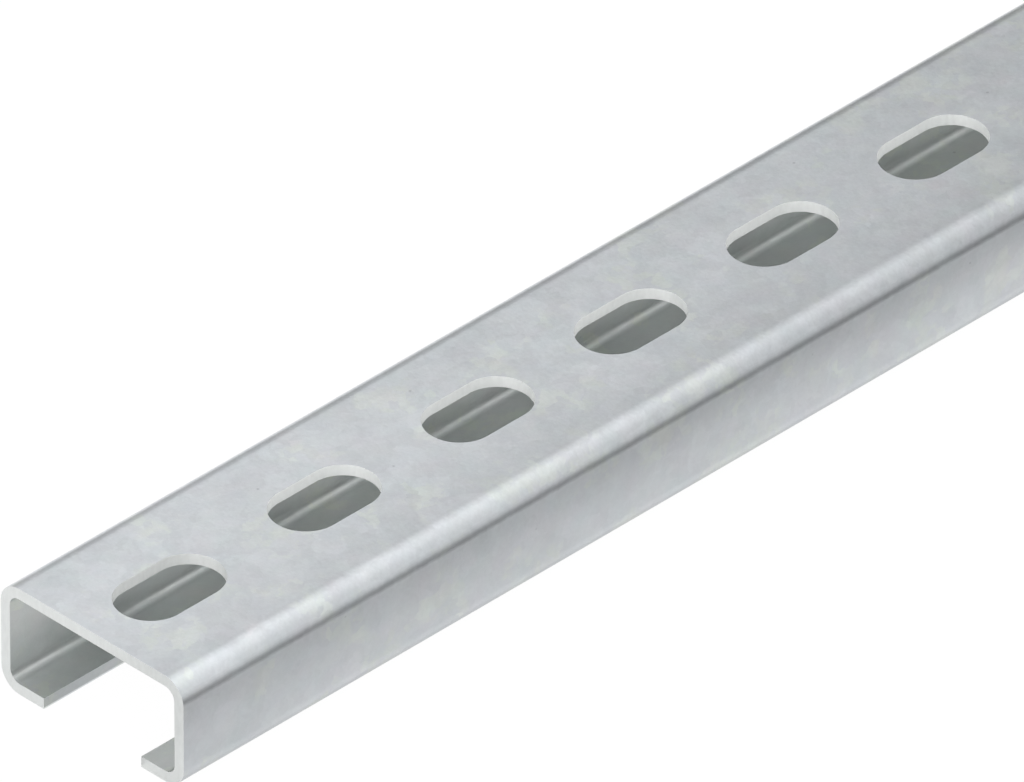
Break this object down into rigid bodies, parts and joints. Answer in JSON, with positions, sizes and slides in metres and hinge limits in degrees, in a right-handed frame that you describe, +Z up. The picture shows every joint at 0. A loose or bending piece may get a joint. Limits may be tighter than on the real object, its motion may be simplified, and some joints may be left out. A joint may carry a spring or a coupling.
{
  "type": "strut channel",
  "caption": "Galvanised steel C-section mounting rail with plain lips and a row of round-ended slots along its web.",
  "frame": {"origin": "in the plane of the lips' undersides, half way along the rail and half way across it", "axes": "+X along the rail, +Y across it, +Z up from the mouth to the slotted web"},
  "size_m": [0.3, 0.03, 0.015],
  "materials": {
    "galvanised_steel": "satin"
  },
  "bodies": {
    "root": {"strut_channel": "galvanised_steel"}
  },
  "joints": []
}
